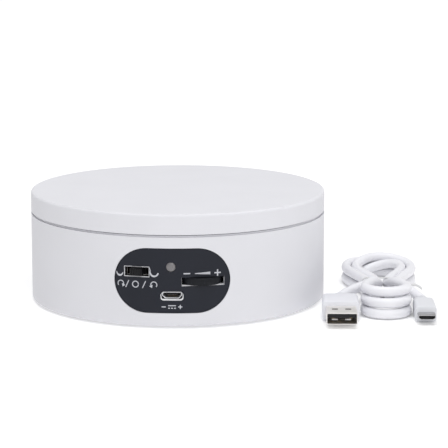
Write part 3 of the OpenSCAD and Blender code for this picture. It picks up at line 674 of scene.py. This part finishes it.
def tapered_corners(half, tall, taper, shoulder):
    """Section of a micro-USB shell, narrower below."""
    return [
        (-half + taper, -tall), (half - taper, -tall), (half, shoulder),
        (half, tall), (-half, tall), (-half, shoulder),
    ]


def make_socket():
    """Receptacle: a flared lip, the shell behind it, and the tongue with a black ring round it, a
    dark sheet that paints the shade of the recess between lip and shell.
    """
    low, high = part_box("usb_socket_shell")
    mouth_z = low[2] / MM + 1.75
    z = mouth_z + 0.25
    front, back = low[1] / MM - 0.1, high[1] / MM
    lift = 0.18    # the lip is thin above and thick below

    def mouth(inset, behind, up=0.0):
        return [(p.x, front + behind, mouth_z + p.y + up) for p in mouth_outline(inset)]

    def shell(inset, behind):
        half, tall = 3.75 - inset, 1.25 - inset
        outline = rounded_outline(tapered_corners(half, tall, 1.0, -tall * 0.1), 0.3)
        return [(p.x, front + behind, z + p.y) for p in outline]

    deep = back - front
    lip = closed_loft([
        mouth(0, 1.2), mouth(0, 0.1), mouth(0.06, 0),
        mouth(0.29, 0, lift), mouth(0.37, 0.12, lift), mouth(0.42, 1.2, lift),
    ])
    tube = closed_loft([
        shell(0, deep), shell(0, 0.75), shell(0.06, 0.7),
        shell(0.2, 0.7), shell(0.26, 0.76), shell(0.26, deep),
    ])
    made = welded(piece("usb_receptacle", *join(lip, tube), TIN, "nickel"))
    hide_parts("usb_socket_shell")
    # black ring closing the gap between lip and shell: painted shade, a dark sheet where the
    # recess would be in shade
    recess_shade_sheet = closed_loft([mouth(0.2, 1.3), mouth(0.2, 0.95), shell(-0.05, 0.95), shell(-0.05, 1.3)])
    tongue = join(
        moved(block(3.9, 3.4, 0.62), place(0, front + 2.9, z + 0.22)),
        moved(block(6.7, 0.6, 1.7), place(0, front + 4.7, z)),
        recess_shade_sheet,
    )
    made = welded(piece("receptacle_tongue", *tongue, BLACK, "black_plastic"), 0.05)
    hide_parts("usb_socket_tongue")
    strips = [moved(block(0.34, 2.9, 0.1), place(0.65 * k, front + 2.85, z - 0.12))
        for k in range(-2, 3)]
    welded(piece("receptacle_contacts", *join(*strips), BRASS, "brass"), 0.02)


# ---- cable and what is on it ----

# the tie's two free ends, from its knot: (across, along, up), in millimetres
TIE_ENDS = [
    [(0, 0, 0.2), (1.0, 0.5, 0.35), (2.2, 1.0, 0.6), (4.2, 2.3, 0.8), (6.4, 3.2, 0.3),
        (8.2, 3.7, -1.2)],
    [(0, 0, -0.2), (1.0, -0.6, -0.3), (2.4, -1.6, -0.5), (4.6, -3.1, -0.7), (7.0, -4.7, -1.6),
        (9.2, -6.0, -3.0)],
]
# down the length of each moulded grip: distance from its cable end, width, height and corner
USB_A_GRIP = [
    (0, 5.2, 5.2, 2.6), (0.35, 5.9, 5.9, 2.95), (5.6, 6.0, 6.0, 3.0), (5.9, 8.2, 6.4, 2.6),
    (6.15, 12.6, 7.2, 1.6), (6.7, 13.9, 7.75, 1.5), (7.6, 14.3, 7.95, 1.5), (14, 14.5, 8.0, 1.5),
    (21.2, 14.5, 8.0, 1.5), (21.8, 14.2, 7.8, 1.4), (22, 13.6, 7.3, 1.2),
]
MICRO_GRIP = [
    (0, 4.8, 4.8, 2.4), (0.35, 5.3, 5.3, 2.65), (2.6, 5.4, 5.4, 2.7), (2.75, 5.0, 5.0, 2.5),
    (3.35, 5.0, 5.0, 2.5), (3.5, 5.4, 5.4, 2.7), (4.7, 5.6, 5.5, 2.6), (5.0, 7.2, 5.8, 1.8),
    (5.6, 8.1, 6.05, 1.5), (6.6, 8.4, 6.2, 1.4), (21.6, 8.4, 6.2, 1.4), (22.3, 8.1, 6.0, 1.3),
    (22.5, 7.6, 5.5, 1.1),
]


def make_cable():
    path = smooth_line(cable_route())
    ring = circle_section(CABLE_D / 2 * MM)
    made = piece("supply_cable", *sweep(path, lambda i: ring), CABLE, "cable_white")
    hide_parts("cable_hank", "cable_lead_left", "cable_lead_right")
    return made, path


def tie_end(knot, points, start_turn):
    """Free end of the tie: a flat strip, twisted near the knot and narrowed at its tip."""
    wide, thick, twist_turns, tip_from = 1.76, 0.945, 2.5, 0.85
    path = smooth_line([(knot + Vector(p)) * MM for p in points], 6)

    def section(i):
        share = i / (len(path) - 1)
        narrow = 1.0
        if share >= tip_from:
            narrow = max(0.25, 1 - ((share - tip_from) / (1 - tip_from)) ** 2)
        spin = (math.pi * twist_turns + start_turn) * max(0.0, 1 - share * 3)
        turned = Matrix.Rotation(spin, 2)
        outline = rounded_outline(rectangle(wide * narrow, thick), 0.3, 3)
        return [tuple(turned @ p * MM) for p in outline]

    return sweep(path, section)


def make_tie():
    """Flat strip round the waist, twisted at the right, with two free ends."""
    wide, thick, corner, above_table = 1.6, 0.7, 1.9, 0.03
    half_u, low_z, high_z = 8.45, 0.18, 8.75
    tall, middle_z = high_z - low_z, (low_z + high_z) / 2

    def ring(shift, half, height, radius):
        return [(CABLE_X + p.x, WAIST_V + shift * wide / 2, max(p.y + middle_z, above_table))
            for p in rounded_outline(rectangle(2 * half, height), radius, 8)]

    outer = (half_u, tall, corner)
    inner = (half_u - thick, tall - 0.35, corner - 0.4)
    parts = [closed_loft([ring(-1, *outer), ring(1, *outer), ring(1, *inner), ring(-1, *inner)])]
    knot = Vector((CABLE_X + half_u - 0.1, WAIST_V, 4.4))
    for k, points in enumerate(TIE_ENDS):
        parts.append(tie_end(knot, points, k * math.pi / 2))
    strip = circle_section(0.35 * MM, 10)
    for shift in (-0.55, 0.55):
        coil = []
        for turn in range(0, 361, 30):
            cos, sin = math.cos(math.radians(turn)), math.sin(math.radians(turn))
            coil.append(knot + Vector((0.3 + 0.3 * cos, shift + 0.1 * sin, 0.75 * sin)))
        parts.append(sweep([p * MM for p in coil], lambda i: strip))
    made = welded(piece("twist_tie", *join(*parts), TIE, "cable_white"))
    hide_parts("cable_tie")
    return made


def grip(stations, x, back, z):
    """Moulded grip that runs forwards from its cable end."""
    rings = []
    for along, width, height, corner in stations:
        outline = rounded_outline(rectangle(width, height), corner, 8)
        rings.append([(x + p.x, back - along, z + p.y) for p in outline])
    return loft(rings)


def make_usb_a_plug():
    low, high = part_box("usb_a_plug_body")
    shape = grip(USB_A_GRIP, middle_of(low, high, 0), high[1] / MM, middle_of(low, high, 2))
    body = welded(piece("usb_a_grip", *shape, GRIP, "plug_white"))
    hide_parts("usb_a_plug_body")
    low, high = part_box("usb_a_plug_shell")
    x, z = middle_of(low, high, 0), middle_of(low, high, 2)
    front, back = low[1] / MM, high[1] / MM + 0.5

    def ring(inset, radius, y):
        outline = rounded_outline(rectangle(12 - 2 * inset, 4.5 - 2 * inset), radius, 4)
        return [(x + p.x, y, z + p.y) for p in outline]

    tube = closed_loft([
        ring(0, 0.7, back), ring(0, 0.7, front + 0.12), ring(0.05, 0.65, front),
        ring(0.25, 0.45, front), ring(0.3, 0.4, front + 0.15), ring(0.3, 0.4, back),
    ])
    shell = welded(piece("usb_a_shell", *tube, NICKEL, "nickel"))
    windows = [moved(block(2.3, 2.3, 1.4), place(x + side * 2.6, front + 7.35, z + face * 2.25))
        for side in (-1, 1) for face in (-1, 1)]
    seam = moved(block(0.12, 12, 0.5), place(x, front + 6.5, z - 2.3))
    cut(shell, *windows, seam)
    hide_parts("usb_a_plug_shell")
    tongue = moved(block(11.2, 12.2, 1.75), place(x, front + 6.9, z + 1.02))
    tongue = welded(piece("usb_a_tongue", *tongue, BLACK, "black_plastic"), 0.12)
    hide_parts("usb_a_plug_tongue")
    # the two outer contacts reach further forwards
    strips = [moved(block(1.0, 7.6, 0.14), place(x + across, front + behind, z + 0.12))
        for across, behind in ((-3.5, 4.9), (-1.0, 5.5), (1.0, 5.5), (3.5, 4.9))]
    contacts = welded(piece("usb_a_contacts", *join(*strips), BRASS, "brass"), 0.03)
    return [body, shell, tongue, contacts]


def make_micro_plug():
    low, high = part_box("micro_usb_plug_body")
    shape = grip(MICRO_GRIP, middle_of(low, high, 0), high[1] / MM, middle_of(low, high, 2))
    body = welded(piece("micro_usb_grip", *shape, GRIP_GREY, "plug_white"))
    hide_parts("micro_usb_plug_body")
    low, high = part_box("micro_usb_plug_shell")
    x, z = middle_of(low, high, 0), middle_of(low, high, 2)
    front, back = low[1] / MM, high[1] / MM + 0.4

    def ring(inset, y):
        outline = rounded_outline(tapered_corners(3.4 - inset, 0.9 - inset, 0.8, -0.1), 0.2, 3)
        return [(x + p.x, y, z + p.y) for p in outline]

    tube = closed_loft([
        ring(0, back), ring(0, front + 0.2), ring(0.08, front),
        ring(0.22, front), ring(0.27, front + 0.15), ring(0.27, back),
    ])
    hooks = [moved(block(0.55, 1.0, 0.35), place(x + side * 2.3, front + 2.2, z - 0.95))
        for side in (-1, 1)]
    # darker steel in place of the shell's bright nickel: real metal, with its darkness painted
    # shade for how the shell looks seen edge-on
    shell = welded(piece("micro_usb_shell", *join(tube, *hooks), STEEL_AND_SHADE, "nickel"))
    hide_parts("micro_usb_plug_shell")
    inside = moved(block(4.9, 4.4, 0.4), place(x, front + 2.9, z - 0.12))
    inside = welded(piece("micro_usb_tongue", *inside, BLACK, "black_plastic"), 0.05)
    return [body, shell, inside]


def make_cable_set():
    cable, path = make_cable()
    on_cable = [make_tie()] + make_usb_a_plug() + make_micro_plug()


# ---- studio ----

FLOOR_HALF = 4.0
# the floor's glow under the stand, and another far from it: the two distances from the
# stand's middle between which it fades, and how strong it is at each
GLOWS = [(0.045, 0.075, 0.33, 0.0), (0.2, 0.9, 0.1, 0.45)]
WORLD_STRENGTH = 0.5
# name, place, aim, size and power
LIGHTS = [
    ("key", (0.35, -1.2, 0.7), (0, 0, 0.02), 0.7, 4.4),
    ("fill", (1.13, 0.41, 0.35), (0, 0, 0.02), 0.6, 1.5),
    ("overhead", (0.0, -0.1, 1.3), (0, 0, 0), 1.2, 10.2),
]


def make_stage():
    mesh = bpy.data.meshes.new("floor")
    corners = [(x, y, 0) for x, y in rectangle(2 * FLOOR_HALF, 2 * FLOOR_HALF)]
    mesh.from_pydata(corners, [], [(0, 1, 2, 3)])
    made, tree, shader = new_material("floor_white")
    shader.inputs["Roughness"].default_value = 0.9
    shader.inputs["Specular IOR Level"].default_value = 0.1
    shader.inputs["Emission Color"].default_value = (1, 1, 1, 1)
    where = tree.nodes.new("ShaderNodeTexCoord")
    away = tree.nodes.new("ShaderNodeVectorMath")
    away.operation = "LENGTH"
    tree.links.new(where.outputs["Object"], away.inputs[0])
    both = tree.nodes.new("ShaderNodeMath")
    for i, (near, far, inside, outside) in enumerate(GLOWS):
        limits = {"From Min": near, "From Max": far, "To Min": inside, "To Max": outside}
        fade = add(tree, "ShaderNodeMapRange", **limits)
        tree.links.new(away.outputs["Value"], fade.inputs["Value"])
        tree.links.new(fade.outputs["Result"], both.inputs[i])
    tree.links.new(both.outputs["Value"], shader.inputs["Emission Strength"])
    mottle(tree, shader, (0.93, 0.93, 0.93), 0.003, 2)
    mesh.materials.append(made)
    floor = bpy.data.objects.new("floor", mesh)
    bpy.context.scene.collection.objects.link(floor)


def area_light(name, where, aim, size, power):
    data = bpy.data.lights.new(name, "AREA")
    data.shape = "DISK"
    data.size = size
    data.energy = power
    made = bpy.data.objects.new(name, data)
    made.location = where
    made.rotation_mode = "QUATERNION"
    made.rotation_quaternion = (Vector(aim) - Vector(where)).to_track_quat("-Z", "Y")
    bpy.context.scene.collection.objects.link(made)


def make_lights():
    world = bpy.data.worlds.new("studio")
    world.use_nodes = True
    background = world.node_tree.nodes["Background"]
    background.inputs["Color"].default_value = (1, 1, 1, 1)
    background.inputs["Strength"].default_value = WORLD_STRENGTH
    bpy.context.scene.world = world
    bpy.context.scene.view_settings.view_transform = "Standard"
    for light in LIGHTS:
        area_light(*light)


make_camera()
make_cable_set()
finish_cad_nodes()
make_panel_marks()
make_switch()
make_dial()
make_socket()
make_stage()
make_lights()
